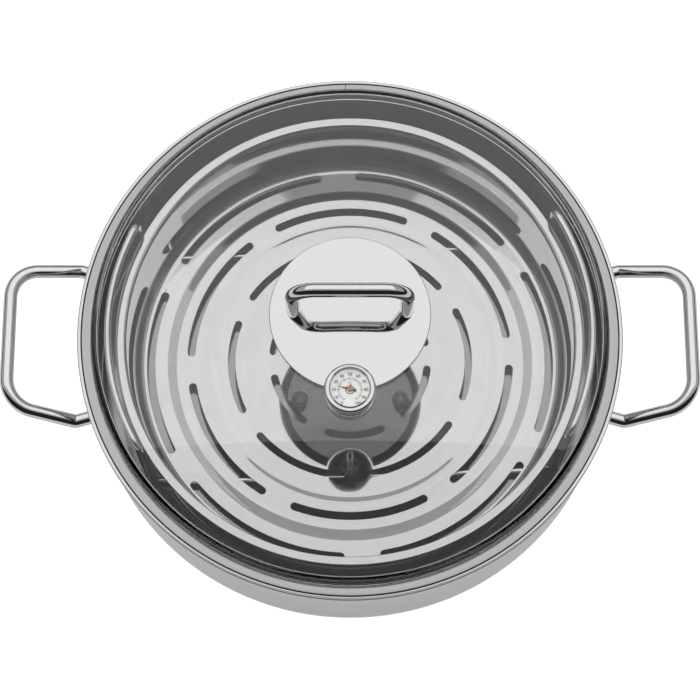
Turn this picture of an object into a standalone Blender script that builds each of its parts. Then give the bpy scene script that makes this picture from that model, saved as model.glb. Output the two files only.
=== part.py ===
"""Shallow steam canning pot with a glass thermometer lid, a perforated tray and a wire lifting rack.

Metres, +Z up. The origin is at the middle of the base's underside. X runs from side handle to side
handle, and -Y is the front, where the lid carries its thermometer.
"""
import math

import bmesh
import bpy
from mathutils import Vector

# ---- driving dimensions ----------------------------------------------------------------------
TOUCH = 0.0003            # gap kept between pieces that touch
TURN_STEPS = 48           # facets around the large turned pieces

# pot
POT_R = 0.1528            # outside radius of the wall
POT_WALL = 0.0010
POT_FLOOR_Z = 0.0066      # underside of the drawn bowl, above the heat-spreading base
POT_TOP_Z = 0.0775        # top of the flared rim
POT_CORNER_R = 0.0050     # between the floor and the wall
RIM_R = 0.1554            # outermost radius of the flared rim
RIM_EDGE_R = 0.0006
FLARE_DROP = 0.0030       # the wall begins to flare this far below the seat
FLARE_W = 0.0016
SEAT_R = 0.1532           # inside radius of the rim, above the seat for the lid
SEAT_Z = 0.0721
BASE_R = 0.1455           # heat-spreading base
CAP_WALL = 0.0006

# side handles
HANDLE_ROD_R = 0.0040
HANDLE_OUT_X = 0.1962     # centre of the outer bar
HANDLE_OUT_Z = 0.0650
HANDLE_HALF_Y = 0.0400
HANDLE_ROOT_HALF_Y = 0.0425
HANDLE_ROOT_Z = 0.0490
HANDLE_BEND_R = 0.0180
PAD_R = 0.0075
PAD_THICK = 0.0020

# perforated tray
TRAY_R = 0.1340           # outside of the lip
TRAY_LIP_W = 0.0050
TRAY_TOP_Z = 0.0691
TRAY_DEPTH = 0.0503       # to the middle of the floor
TRAY_FLOOR_R = 0.1255     # where the wall's line meets the floor
TRAY_CORNER_R = 0.0055
TRAY_WALL = 0.0008
TRAY_TURN = math.radians(3.5)
STEP_IN_R = 0.1027        # the floor drops down a sloping step between these two radii
STEP_OUT_R = 0.1082
STEP_DROP = 0.0023        # from the middle to the outer ring, both steps together
SMALL_STEP_IN_R = 0.0832  # a smaller step of the same kind nearer the middle
SMALL_STEP_OUT_R = 0.0860
SMALL_STEP_DROP = 0.0006
SHOULDER_DEPTH = 0.0040   # the wall steps in below the lip
SHOULDER_IN = 0.0008
LIP_HEM = 0.0018          # height of the lip's turned-down edge
LIP_EDGE = 0.0003
SLOTS_PER_RING = 6
# mean radius, width, arc in degrees, direction in degrees of the first slot's middle
SLOT_RINGS = (
    (0.1181, 0.0050, 50.0, 0.0),
    (0.0943, 0.0048, 50.0, 30.0),
    (0.0702, 0.0044, 48.0, 0.0),
    (0.0459, 0.0045, 45.0, 30.0),
)

# wire rack
WIRE_R = 0.0020
RACK_TURN = math.radians(2.0)
GRIP_R = 0.1370           # radius of the two curved grips and of the legs below them
GRIP_Z = 0.0825
GRIP_HALF_ANGLE = 29.0    # degrees
FOOT_Z = 0.0099
RAMP_TOP_X = 0.1000       # the wire rises from the feet to the runs here
RUN_Y = 0.0696            # the two runs that carry the tray
LEG_BEND_R = 0.0060

# lid band, glass and centre disc
BAND_R = 0.1528
BAND_TOP_Z = 0.0774
BAND_BOTTOM_Z = 0.0724
BAND_WALL = 0.0006
BAND_INNER_R = 0.1475
GLASS_R = 0.1470          # radius of the dome's outer surface at its foot
GLASS_CROWN_Z = 0.1078
GLASS_WALL = 0.0038
GLASS_BEND_R = 0.0050     # the dome turns down to its flange on this radius
GLASS_BEND_Z = 0.0826
FLANGE_R = 0.1512         # the dome's flat edge, held in the band
FLANGE_TOP_Z = 0.0765
FLANGE_BOTTOM_Z = 0.0742
LID_CUT_LOW_Z = 0.0950    # heights between which the lid's holes are cut
DISC_CUT_LOW_Z = 0.1050
LID_CUT_HIGH_Z = 0.1250
DISC_R = 0.0450
DISC_EDGE_Z = 0.1087      # top of the disc's edge
DISC_RISE = 0.0040
DISC_THICK = 0.0012
GASKET_OUT_R = 0.0435
GASKET_IN_R = 0.0395
GASKET_BOTTOM_Z = 0.1065
GASKET_TOP_Z = 0.1074

# lid handle and its screws
KNOB_HALF_X = 0.0315      # from the middle to a leg's centre
KNOB_ROD_R = 0.0040
KNOB_BAR_Z = 0.1485       # centre of the top bar
KNOB_FOOT_Z = 0.1117
KNOB_BEND_R = 0.0130
SCREW_R = 0.0018
SCREW_HOLE_R = 0.0023
SCREW_TOP_Z = 0.1172
SCREW_HEAD_R = 0.0040
SCREW_HEAD_H = 0.0026
SCREW_WASHER_R = 0.0052
SCREW_WASHER_TOP_Z = 0.1023
WASHER_THICK = 0.0010

# thermometer
GAUGE_Y = -0.0456
GAUGE_R = 0.0142
GAUGE_TOP_Z = 0.1170
GAUGE_BOTTOM_Z = 0.1080
GAUGE_FACE_R = 0.0109     # clear radius inside the bezel
GAUGE_CUP_R = 0.0116
GAUGE_SHELF_R = 0.0106
DIAL_Z = 0.1127           # underside of the dial
DIAL_R = 0.0113
DIAL_THICK = 0.0006
LENS_Z = 0.1157
LENS_THICK = 0.0006
NECK_R = 0.0042
NECK_HOLE_R = 0.0046
NECK_BOTTOM_Z = 0.0950
NECK_BORE_R = 0.0010
NUT_R = 0.0072
NUT_TOP_Z = 0.0996
NUT_H = 0.0035
STEM_R = 0.0020
STEM_BORE_R = 0.0016
STEM_TIP_Z = 0.0600
STEM_TAPER = 0.0050       # length of the pointed tip
POINTER_Z = 0.1143
POINTER_THICK = 0.0003
POINTER_LENGTH = 0.0080
POINTER_TAIL = 0.0036
HUB_R = 0.0016
STAFF_R = 0.0005
STAFF_END_Z = 0.0925
SCALE_SWEEP = 300.0       # degrees of turn from 0 to 100 Celsius, clockwise
SCALE_ZERO = 240.0        # direction of the 0 mark, anticlockwise from +X
READING = 25.0            # Celsius, shown at rest
COIL_R = 0.0011
COIL_WIRE_R = 0.0002
COIL_TURNS = 6


# ---- finishes: colour, roughness, metallic ---------------------------------------------------
STEEL = (0.62, 0.62, 0.62)
BRUSHED = (STEEL, 0.34, 1.0)
SATIN = (STEEL, 0.22, 1.0)
POLISHED = (STEEL, 0.10, 1.0)
ALUMINIUM = ((0.72, 0.73, 0.74), 0.45, 1.0)
GLASS = ((0.86, 0.90, 0.88), 0.05, 0.0)
SILICONE = ((0.10, 0.10, 0.10), 0.60, 0.0)
DIAL_WHITE = ((0.85, 0.85, 0.82), 0.50, 0.0)
COPPER = ((0.48, 0.27, 0.16), 0.35, 1.0)


# ---- helpers ---------------------------------------------------------------------------------
def clear_scene():
    for old in list(bpy.data.objects):
        bpy.data.objects.remove(old, do_unlink=True)


def finish(name, mesh, look, sharp=35.0, location=(0.0, 0.0, 0.0), turn=0.0):
    """Make an object of a mesh, shade it smooth and give it its own material."""
    mesh.name = name
    mesh.shade_smooth()
    mesh.set_sharp_from_angle(angle=math.radians(sharp))
    colour, rough, metal = look
    skin = bpy.data.materials.new(name)
    skin.use_nodes = True
    shader = skin.node_tree.nodes["Principled BSDF"]
    shader.inputs["Base Color"].default_value = (*colour, 1.0)
    shader.inputs["Roughness"].default_value = rough
    shader.inputs["Metallic"].default_value = metal
    mesh.materials.append(skin)
    made = bpy.data.objects.new(name, mesh)
    made.location = location
    made.rotation_euler[2] = turn
    bpy.context.scene.collection.objects.link(made)
    return made


def mesh_from(build):
    """Run a builder on a fresh bmesh, turn its faces outward and return the mesh."""
    work = bmesh.new()
    build(work)
    bmesh.ops.remove_doubles(work, verts=work.verts, dist=1e-7)
    bmesh.ops.recalc_face_normals(work, faces=work.faces)
    mesh = bpy.data.meshes.new("shape")
    work.to_mesh(mesh)
    work.free()
    return mesh


def turned(outline, steps=TURN_STEPS):
    """Mesh of a closed (radius, height) outline turned about Z. Points at radius 0 become poles."""
    def build(work):
        columns = []
        for radius, height in outline:
            if radius < 1e-9:
                columns.append([work.verts.new((0.0, 0.0, height))] * steps)
                continue
            ring = []
            for k in range(steps):
                angle = 2.0 * math.pi * k / steps
                ring.append(work.verts.new((radius * math.cos(angle), radius * math.sin(angle), height)))
            columns.append(ring)
        count = len(columns)
        for i in range(count):
            here, there = columns[i], columns[(i + 1) % count]
            for k in range(steps):
                n = (k + 1) % steps
                corners = []
                for vert in (here[k], here[n], there[n], there[k]):
                    if vert not in corners:
                        corners.append(vert)
                if len(corners) > 2:
                    work.faces.new(corners)
    return mesh_from(build)


def arc(centre, radius, start, stop, count):
    """Points of a circular arc in the (radius, height) plane, angles in degrees."""
    points = []
    for k in range(count + 1):
        angle = math.radians(start + (stop - start) * k / count)
        points.append((centre[0] + radius * math.cos(angle), centre[1] + radius * math.sin(angle)))
    return points


def rounded_path(corners, bend_r, bend_steps=6, closed=False):
    """Points of a polyline whose corners are rounded; bend_r is one radius or one per corner."""
    count = len(corners)
    radii = bend_r if isinstance(bend_r, (list, tuple)) else [bend_r] * count
    points = []
    for i, corner in enumerate(corners):
        here = Vector(corner)
        if not closed and i in (0, count - 1):
            points.append(here)
            continue
        back = (Vector(corners[i - 1]) - here).normalized()
        ahead = (Vector(corners[(i + 1) % count]) - here).normalized()
        half = 0.5 * back.angle(ahead)
        if half > math.radians(88.0) or radii[i] <= 0.0:
            points.append(here)
            continue
        reach = radii[i] / math.tan(half)
        middle = here + (back + ahead).normalized() * (radii[i] / math.sin(half))
        start = here + back * reach - middle
        swing = math.pi - 2.0 * half
        for k in range(bend_steps + 1):
            angle = swing * k / bend_steps
            points.append(middle + start * math.cos(angle) - back * (radii[i] * math.sin(angle)))
    return points


def swept(path, radius, sides=12, closed=False, first_side=(0.0, 0.0, 1.0), scales=None):
    """Mesh of a round rod along a path. scales holds (across, along first_side) factors per point."""
    def build(work):
        count = len(path)
        side = Vector(first_side)
        rings = []
        for i, point in enumerate(path):
            before = path[i - 1] if (i > 0 or closed) else point
            after = path[(i + 1) % count] if (i < count - 1 or closed) else point
            along = (after - before).normalized()
            side = (side - along * side.dot(along)).normalized()
            across = along.cross(side)
            wide, tall = scales[i] if scales else (1.0, 1.0)
            ring = []
            for k in range(sides):
                angle = 2.0 * math.pi * (k + 0.5) / sides
                offset = across * (math.cos(angle) * wide) + side * (math.sin(angle) * tall)
                ring.append(work.verts.new(point + offset * radius))
            rings.append(ring)
        spans = count if closed else count - 1
        for i in range(spans):
            here, there = rings[i], rings[(i + 1) % count]
            for k in range(sides):
                n = (k + 1) % sides
                work.faces.new((here[k], here[n], there[n], there[k]))
        if not closed:
            work.faces.new(list(reversed(rings[0])))
            work.faces.new(rings[-1])
    return mesh_from(build)


def combine(target, tools, operation="DIFFERENCE"):
    """Cut tools out of the target, or join them to it, with an exact Boolean."""
    group = bpy.data.collections.new(target.name + "_tools")
    for tool in tools:
        tool.hide_render = True
        tool.display_type = "WIRE"
        group.objects.link(tool)
    change = target.modifiers.new(operation.lower(), "BOOLEAN")
    change.operation = operation
    change.operand_type = "COLLECTION"
    change.collection = group
    change.solver = "EXACT"


def prism(outline, low, high):
    """Mesh of a flat (x, y) outline, drawn anticlockwise, between two heights."""
    def build(work):
        lower = [work.verts.new((x, y, low)) for x, y in outline]
        upper = [work.verts.new((x, y, high)) for x, y in outline]
        work.faces.new(list(reversed(lower)))
        work.faces.new(upper)
        for k in range(len(outline)):
            n = (k + 1) % len(outline)
            work.faces.new((lower[k], lower[n], upper[n], upper[k]))
    return mesh_from(build)


def ring_outline(inner, outer, low, high):
    """Closed outline of a flat ring: radius and height of its four corners."""
    return [(outer, low), (outer, high), (inner, high), (inner, low)]


def drill(name, x, y, radius, low, high, steps=24):
    """A round cutter, standing upright."""
    shape = turned([(0.0, low), (radius, low), (radius, high), (0.0, high)], steps)
    return finish(name, shape, BRUSHED, location=(x, y, 0.0))


# ---- pot -------------------------------------------------------------------------------------
def pot_outline():
    """Bowl with a flared rim around the lid's seat, outside first and then back down the inside."""
    inner_r = POT_R - POT_WALL
    corner = (POT_R - POT_CORNER_R, POT_FLOOR_Z + POT_CORNER_R)
    edge = (RIM_R - RIM_EDGE_R, POT_TOP_Z - RIM_EDGE_R)
    flare = SEAT_R - inner_r
    points = [(0.0, POT_FLOOR_Z)]
    points += arc(corner, POT_CORNER_R, -90.0, 0.0, 4)
    points += [(POT_R, SEAT_Z - FLARE_DROP)]
    points += [(POT_R + FLARE_W, SEAT_Z - FLARE_DROP + FLARE_W)]
    points += arc(edge, RIM_EDGE_R, 0.0, 90.0, 3)
    points += [(SEAT_R, POT_TOP_Z - TOUCH), (SEAT_R, SEAT_Z), (inner_r, SEAT_Z - 0.3 * flare)]
    points += arc(corner, POT_CORNER_R - POT_WALL, 0.0, -90.0, 4)
    points += [(0.0, POT_FLOOR_Z + POT_WALL)]
    return points


def make_pot():
    finish("pot_body", turned(pot_outline()), BRUSHED)
    core_top = POT_FLOOR_Z - TOUCH
    core_r = BASE_R - CAP_WALL - TOUCH
    core_low = CAP_WALL + TOUCH
    core = [(0.0, core_low), (core_r, core_low), (core_r, core_top), (0.0, core_top)]
    finish("base_core", turned(core), ALUMINIUM)
    edge = 0.0010
    cap = [(0.0, 0.0), (BASE_R - edge, 0.0), (BASE_R, edge), (BASE_R, core_top - TOUCH)]
    cap += [(BASE_R - CAP_WALL, core_top - TOUCH), (BASE_R - CAP_WALL, CAP_WALL), (0.0, CAP_WALL)]
    finish("base_cap", turned(cap), BRUSHED)


def handle_path(side):
    """Centre line of one side handle, foot to foot. side is 1 for +X and -1 for -X."""
    root_angle = math.asin(HANDLE_ROOT_HALF_Y / POT_R)
    start_r = POT_R + PAD_THICK + 2.0 * TOUCH
    rise = Vector((0.0, 0.0, HANDLE_ROOT_Z))
    out = Vector((math.cos(root_angle), math.sin(root_angle), 0.0))
    half = [out * start_r + rise, out * (start_r + 0.009) + rise]
    half += [Vector((HANDLE_OUT_X, HANDLE_HALF_Y, HANDLE_OUT_Z))]
    corners = half + [Vector((p.x, -p.y, p.z)) for p in reversed(half)]
    corners = [Vector((side * p.x, p.y, p.z)) for p in corners]
    return rounded_path(corners, [0.0, 0.006, HANDLE_BEND_R, HANDLE_BEND_R, 0.006, 0.0], 5)


def make_side_handles():
    pad = [(0.0, 0.0), (PAD_R, 0.0), (PAD_R, 0.6 * PAD_THICK), (PAD_R - 0.001, PAD_THICK), (0.0, PAD_THICK)]
    root_angle = math.asin(HANDLE_ROOT_HALF_Y / POT_R)
    count = 0
    for name, side in (("right", 1.0), ("left", -1.0)):
        rod = swept(handle_path(side), HANDLE_ROD_R, 10)
        finish("side_handle_" + name, rod, POLISHED)
        for end in (1.0, -1.0):
            count += 1
            mesh = turned(pad, 20)
            out = Vector((side * math.cos(root_angle), end * math.sin(root_angle), 0.0))
            place = out.to_track_quat("Z", "Y").to_matrix().to_4x4()
            place.translation = out * (POT_R + TOUCH) + Vector((0.0, 0.0, HANDLE_ROOT_Z))
            mesh.transform(place)
            finish("handle_pad_%d" % count, mesh, BRUSHED)


# ---- insert: perforated tray and wire rack ---------------------------------------------------
def tray_outline():
    """Tray section: underside from the centre outward, over the lip, and back along the inside."""
    floor_z = TRAY_TOP_Z - TRAY_DEPTH
    wall_r = TRAY_R - TRAY_LIP_W
    shoulder_z = TRAY_TOP_Z - SHOULDER_DEPTH
    neck_r = wall_r - SHOULDER_IN
    inner_corner = (TRAY_FLOOR_R - TRAY_CORNER_R, floor_z - STEP_DROP + TRAY_CORNER_R)
    steps = [(0.0, 0.0), (SMALL_STEP_IN_R, 0.0), (SMALL_STEP_OUT_R, SMALL_STEP_DROP)]
    steps += [(STEP_IN_R, SMALL_STEP_DROP), (STEP_OUT_R, STEP_DROP)]
    points = [(r, floor_z - drop - TRAY_WALL) for r, drop in steps]
    points += arc(inner_corner, TRAY_CORNER_R + TRAY_WALL, -90.0, 0.0, 3)
    points += [(neck_r + TRAY_WALL, shoulder_z - 0.0010), (wall_r + TRAY_WALL, shoulder_z)]
    points += [(wall_r + TRAY_WALL, TRAY_TOP_Z - TRAY_WALL), (TRAY_R - TRAY_WALL, TRAY_TOP_Z - TRAY_WALL)]
    points += [(TRAY_R - TRAY_WALL, TRAY_TOP_Z - LIP_HEM), (TRAY_R, TRAY_TOP_Z - LIP_HEM)]
    points += [(TRAY_R, TRAY_TOP_Z - LIP_EDGE), (TRAY_R - LIP_EDGE, TRAY_TOP_Z), (wall_r, TRAY_TOP_Z)]
    points += [(wall_r, shoulder_z + TRAY_WALL), (neck_r, shoulder_z - 0.0002)]
    points += arc(inner_corner, TRAY_CORNER_R, 0.0, -90.0, 3)
    points += [(r, floor_z - drop) for r, drop in reversed(steps)]
    return points


def slot_outline(radius, width, sweep, middle):
    """Flat outline of a curved slot with round ends, anticlockwise. Angles in degrees."""
    half = 0.5 * width
    start = math.radians(middle - 0.5 * sweep) + half / radius
    stop = math.radians(middle + 0.5 * sweep) - half / radius
    steps = 6
    points = []
    for k in range(steps + 1):
        angle = start + (stop - start) * k / steps
        points.append(((radius + half) * math.cos(angle), (radius + half) * math.sin(angle)))
    for end, sign in ((stop, 1.0), (start, -1.0)):
        centre = (radius * math.cos(end), radius * math.sin(end))
        for k in range(1, 4):
            turn = end + math.pi * k / 4.0 if sign > 0 else end + math.pi + math.pi * k / 4.0
            points.append((centre[0] + half * math.cos(turn), centre[1] + half * math.sin(turn)))
        if sign > 0:
            for k in range(steps + 1):
                angle = stop + (start - stop) * k / steps
                points.append(((radius - half) * math.cos(angle), (radius - half) * math.sin(angle)))
    return points


def make_tray():
    tray = finish("insert_tray", turned(tray_outline()), SATIN, turn=TRAY_TURN)
    low = TRAY_TOP_Z - TRAY_DEPTH - 0.005
    high = TRAY_TOP_Z - TRAY_DEPTH + 0.005
    cutters = []
    for radius, width, sweep, first in SLOT_RINGS:
        for k in range(SLOTS_PER_RING):
            middle = first + 360.0 * k / SLOTS_PER_RING
            mesh = prism(slot_outline(radius, width, sweep, middle), low, high)
            cutters.append(finish("slot_cutter", mesh, BRUSHED, turn=TRAY_TURN))
    combine(tray, cutters)


def rack_path():
    """Closed centre line of the rack: grip, leg, foot, run under the tray, and the same again."""
    run_z = TRAY_TOP_Z - TRAY_DEPTH - STEP_DROP - TRAY_WALL - TOUCH - WIRE_R
    corners = []
    bends = []
    for middle in (0.0, 180.0):
        steps = 8
        side = 1.0 if middle == 0.0 else -1.0
        for k in range(steps + 1):
            angle = math.radians(middle - GRIP_HALF_ANGLE + 2.0 * GRIP_HALF_ANGLE * k / steps)
            corners.append((GRIP_R * math.cos(angle), GRIP_R * math.sin(angle), GRIP_Z))
            bends.append(LEG_BEND_R if k in (0, steps) else 0.0)
        last = math.radians(middle + GRIP_HALF_ANGLE)
        foot = (GRIP_R * math.cos(last), GRIP_R * math.sin(last), FOOT_Z)
        corners += [foot, (side * RAMP_TOP_X, side * RUN_Y, run_z)]
        corners += [(-side * RAMP_TOP_X, side * RUN_Y, run_z), (-foot[0], foot[1], FOOT_Z)]
        bends += [LEG_BEND_R, 2.0 * LEG_BEND_R, 2.0 * LEG_BEND_R, LEG_BEND_R]
    return rounded_path(corners, bends, 4, closed=True)


def make_rack():
    wire = swept(rack_path(), WIRE_R, 8, closed=True, first_side=(0.0, 0.0, 1.0))
    finish("rack_wire", wire, POLISHED, turn=RACK_TURN)


# ---- lid -------------------------------------------------------------------------------------
def dome_outline(depth):
    """Outline of the dome from its foot to its crown, at a depth inside the outer surface."""
    centre_r = GLASS_R - GLASS_BEND_R
    lift = GLASS_CROWN_Z - GLASS_BEND_R - GLASS_BEND_Z
    lean = 2.0 * math.atan(lift / centre_r)      # slope of the crown where the bend begins
    crown_r = centre_r / math.sin(lean) + GLASS_BEND_R - depth
    top = GLASS_CROWN_Z - depth
    points = arc((centre_r, GLASS_BEND_Z), GLASS_BEND_R - depth, 0.0, 90.0 - math.degrees(lean), 3)
    steps = 7
    for k in range(1, steps + 1):
        angle = lean * (1.0 - k / steps)
        points.append((crown_r * math.sin(angle), top - crown_r * (1.0 - math.cos(angle))))
    return points


def glass_outline():
    points = [(FLANGE_R, FLANGE_BOTTOM_Z), (FLANGE_R, FLANGE_TOP_Z), (GLASS_R, FLANGE_TOP_Z)]
    points += dome_outline(0.0)
    points += list(reversed(dome_outline(GLASS_WALL)))
    return points + [(GLASS_R - GLASS_WALL, FLANGE_BOTTOM_Z)]


def screw_places():
    return [(KNOB_HALF_X, 0.0), (-KNOB_HALF_X, 0.0)]


def screw_drills():
    return [drill("screw_hole_cutter", x, y, SCREW_HOLE_R, LID_CUT_LOW_Z, SCREW_TOP_Z + 0.001, 12)
            for x, y in screw_places()]


def make_lid_shell():
    glass = finish("lid_glass", turned(glass_outline()), GLASS)
    neck_hole = drill("neck_hole_cutter", 0.0, GAUGE_Y, NECK_HOLE_R, LID_CUT_LOW_Z, LID_CUT_HIGH_Z, 20)
    combine(glass, screw_drills() + [neck_hole])
    inside_r = BAND_R - BAND_WALL
    band = [(BAND_R - 0.0004, BAND_BOTTOM_Z), (BAND_R, BAND_BOTTOM_Z + 0.0004)]
    band += [(BAND_R, BAND_TOP_Z - 0.0004), (BAND_R - 0.0004, BAND_TOP_Z), (BAND_INNER_R, BAND_TOP_Z)]
    band += [(BAND_INNER_R, BAND_TOP_Z - BAND_WALL), (inside_r, BAND_TOP_Z - BAND_WALL)]
    band += [(inside_r, BAND_BOTTOM_Z + BAND_WALL), (BAND_INNER_R, BAND_BOTTOM_Z + BAND_WALL)]
    band += [(BAND_INNER_R, BAND_BOTTOM_Z)]
    finish("lid_band", turned(band), BRUSHED)
    seal_low = BAND_BOTTOM_Z + BAND_WALL + TOUCH
    seal = ring_outline(BAND_INNER_R, inside_r - 2.0 * TOUCH, seal_low, FLANGE_BOTTOM_Z - TOUCH)
    finish("lid_edge_seal", turned(seal), SILICONE)


def disc_height(radius):
    return DISC_EDGE_Z + DISC_RISE * (1.0 - (radius / DISC_R) ** 2)


def make_lid_disc():
    steps = 5
    radii = [DISC_R * k / steps for k in range(steps + 1)]
    outline = [(r, disc_height(r) - DISC_THICK) for r in radii]
    outline += [(r, disc_height(r)) for r in reversed(radii)]
    disc = finish("lid_disc", turned(outline), POLISHED)
    notch_r = GAUGE_R + 2.0 * TOUCH
    notch = drill("disc_notch_cutter", 0.0, GAUGE_Y, notch_r, DISC_CUT_LOW_Z, LID_CUT_HIGH_Z, 32)
    combine(disc, screw_drills() + [notch])
    ring = turned(ring_outline(GASKET_IN_R, GASKET_OUT_R, GASKET_BOTTOM_Z, GASKET_TOP_Z))
    gasket = finish("lid_disc_gasket", ring, SILICONE)
    wide_r = notch_r + 0.001
    wide_notch = drill("gasket_notch_cutter", 0.0, GAUGE_Y, wide_r, DISC_CUT_LOW_Z, LID_CUT_HIGH_Z, 32)
    combine(gasket, [wide_notch])


def make_lid_handle():
    corners = [Vector((KNOB_HALF_X, 0.0, KNOB_FOOT_Z)), Vector((KNOB_HALF_X, 0.0, KNOB_BAR_Z))]
    corners += [Vector((-p.x, p.y, p.z)) for p in reversed(corners)]
    path = rounded_path(corners, KNOB_BEND_R, 5)
    rod = swept(path, KNOB_ROD_R, 12, first_side=(0.0, 1.0, 0.0))
    handle = finish("lid_handle", rod, POLISHED)
    combine(handle, screw_drills())


def make_lid_screws():
    washer_low = SCREW_WASHER_TOP_Z - WASHER_THICK
    head_top = washer_low - TOUCH
    screw = [(0.0, head_top - SCREW_HEAD_H), (0.6 * SCREW_HEAD_R, head_top - SCREW_HEAD_H)]
    screw += [(SCREW_HEAD_R, head_top - 0.4 * SCREW_HEAD_H), (SCREW_HEAD_R, head_top)]
    screw += [(SCREW_R, head_top), (SCREW_R, SCREW_TOP_Z), (0.0, SCREW_TOP_Z)]
    washer = ring_outline(SCREW_HOLE_R, SCREW_WASHER_R, washer_low, SCREW_WASHER_TOP_Z)
    for number, (x, y) in enumerate(screw_places(), 1):
        finish("lid_handle_screw_%d" % number, turned(screw, 12), BRUSHED, location=(x, y, 0.0))
        finish("screw_washer_%d" % number, turned(washer, 16), SILICONE, location=(x, y, 0.0))


# ---- thermometer -----------------------------------------------------------------------------
def case_outline():
    """Bezel, cup, shelf for the dial, and the hollow neck that passes through the glass."""
    lip_low = LENS_Z + LENS_THICK + TOUCH
    shelf_z = DIAL_Z - TOUCH
    floor_z = GAUGE_BOTTOM_Z + 0.0010
    points = [(NECK_BORE_R, NECK_BOTTOM_Z), (NECK_R, NECK_BOTTOM_Z), (NECK_R, GAUGE_BOTTOM_Z)]
    points += [(GAUGE_R - 0.0010, GAUGE_BOTTOM_Z), (GAUGE_R, GAUGE_BOTTOM_Z + 0.0010)]
    points += arc((GAUGE_R - 0.0014, GAUGE_TOP_Z - 0.0014), 0.0014, 0.0, 90.0, 3)
    points += [(GAUGE_FACE_R, GAUGE_TOP_Z - 0.0002), (GAUGE_FACE_R, lip_low), (GAUGE_CUP_R, lip_low)]
    points += [(GAUGE_CUP_R, shelf_z), (GAUGE_SHELF_R, shelf_z), (GAUGE_SHELF_R, floor_z)]
    points += [(NECK_BORE_R, floor_z)]
    return points


def hexagon(radius):
    return [(radius * math.cos(math.radians(60.0 * k)), radius * math.sin(math.radians(60.0 * k)))
            for k in range(6)]


def pointer_outline():
    """Flat needle along +X: a long taper ahead of the hub and a short, blunt tail behind it."""
    return [(POINTER_LENGTH, 0.0), (0.002, 0.00045), (-POINTER_TAIL, 0.0008),
            (-POINTER_TAIL, -0.0008), (0.002, -0.00045)]


def coil_path():
    """Bimetal helix around the pointer's staff, inside the stem."""
    steps = 8 * COIL_TURNS
    top = STAFF_END_Z - 0.0010
    pitch = 0.0016
    return [Vector((COIL_R * math.cos(2.0 * math.pi * k / 8), COIL_R * math.sin(2.0 * math.pi * k / 8),
                    top - pitch * k / 8)) for k in range(steps + 1)]


def make_thermometer():
    at = (0.0, GAUGE_Y, 0.0)
    finish("thermometer_case", turned(case_outline(), 36), POLISHED, location=at)
    dial = ring_outline(NECK_BORE_R, DIAL_R, DIAL_Z, DIAL_Z + DIAL_THICK)
    finish("thermometer_dial", turned(dial, 32), DIAL_WHITE, location=at)
    lens = [(0.0, LENS_Z), (DIAL_R, LENS_Z), (DIAL_R, LENS_Z + LENS_THICK), (0.0, LENS_Z + LENS_THICK)]
    finish("thermometer_lens", turned(lens, 32), GLASS, location=at)

    hub = [(0.0, STAFF_END_Z), (STAFF_R, STAFF_END_Z), (STAFF_R, POINTER_Z - 0.0002)]
    hub += [(HUB_R, POINTER_Z - 0.0002), (HUB_R, POINTER_Z + 0.0006), (0.0, POINTER_Z + 0.0006)]
    heading = math.radians(SCALE_ZERO - SCALE_SWEEP * READING / 100.0)
    pointer = finish("thermometer_pointer", turned(hub, 12), COPPER, location=at, turn=heading)
    needle = prism(list(reversed(pointer_outline())), POINTER_Z, POINTER_Z + POINTER_THICK)
    blade = finish("needle_guide", needle, COPPER, location=at, turn=heading)
    combine(pointer, [blade], "UNION")

    gasket_low = GAUGE_BOTTOM_Z - TOUCH - 0.0009
    upper = ring_outline(NECK_HOLE_R, 0.0090, gasket_low, GAUGE_BOTTOM_Z - TOUCH)
    finish("thermometer_gasket", turned(upper, 24), SILICONE, location=at)
    washer_low = NUT_TOP_Z + TOUCH
    lower = ring_outline(NECK_HOLE_R, 0.0080, washer_low, washer_low + WASHER_THICK)
    finish("thermometer_washer", turned(lower, 24), SILICONE, location=at)
    nut = finish("thermometer_nut", prism(hexagon(NUT_R), NUT_TOP_Z - NUT_H, NUT_TOP_Z), BRUSHED, location=at)
    bore_r = NECK_R + TOUCH
    combine(nut, [drill("nut_bore_cutter", 0.0, GAUGE_Y, bore_r, LID_CUT_LOW_Z, LID_CUT_HIGH_Z, 20)])

    top = NECK_BOTTOM_Z - TOUCH
    bore_z = STEM_TIP_Z + STEM_TAPER + 0.0010
    stem = [(0.0, STEM_TIP_Z), (0.35 * STEM_R, STEM_TIP_Z + 0.0008), (STEM_R, STEM_TIP_Z + STEM_TAPER)]
    stem += [(STEM_R, top), (STEM_BORE_R, top), (STEM_BORE_R, bore_z), (0.0, bore_z)]
    finish("thermometer_stem", turned(stem, 16), POLISHED, location=at)
    coil = swept(coil_path(), COIL_WIRE_R, 5)
    finish("bimetal_coil", coil, COPPER, location=at)


clear_scene()
make_pot()
make_side_handles()
make_tray()
make_rack()
make_lid_shell()
make_lid_disc()
make_lid_handle()
make_lid_screws()
make_thermometer()
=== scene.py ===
import math

import bmesh
import bpy
from mathutils import Matrix, Vector


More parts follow.
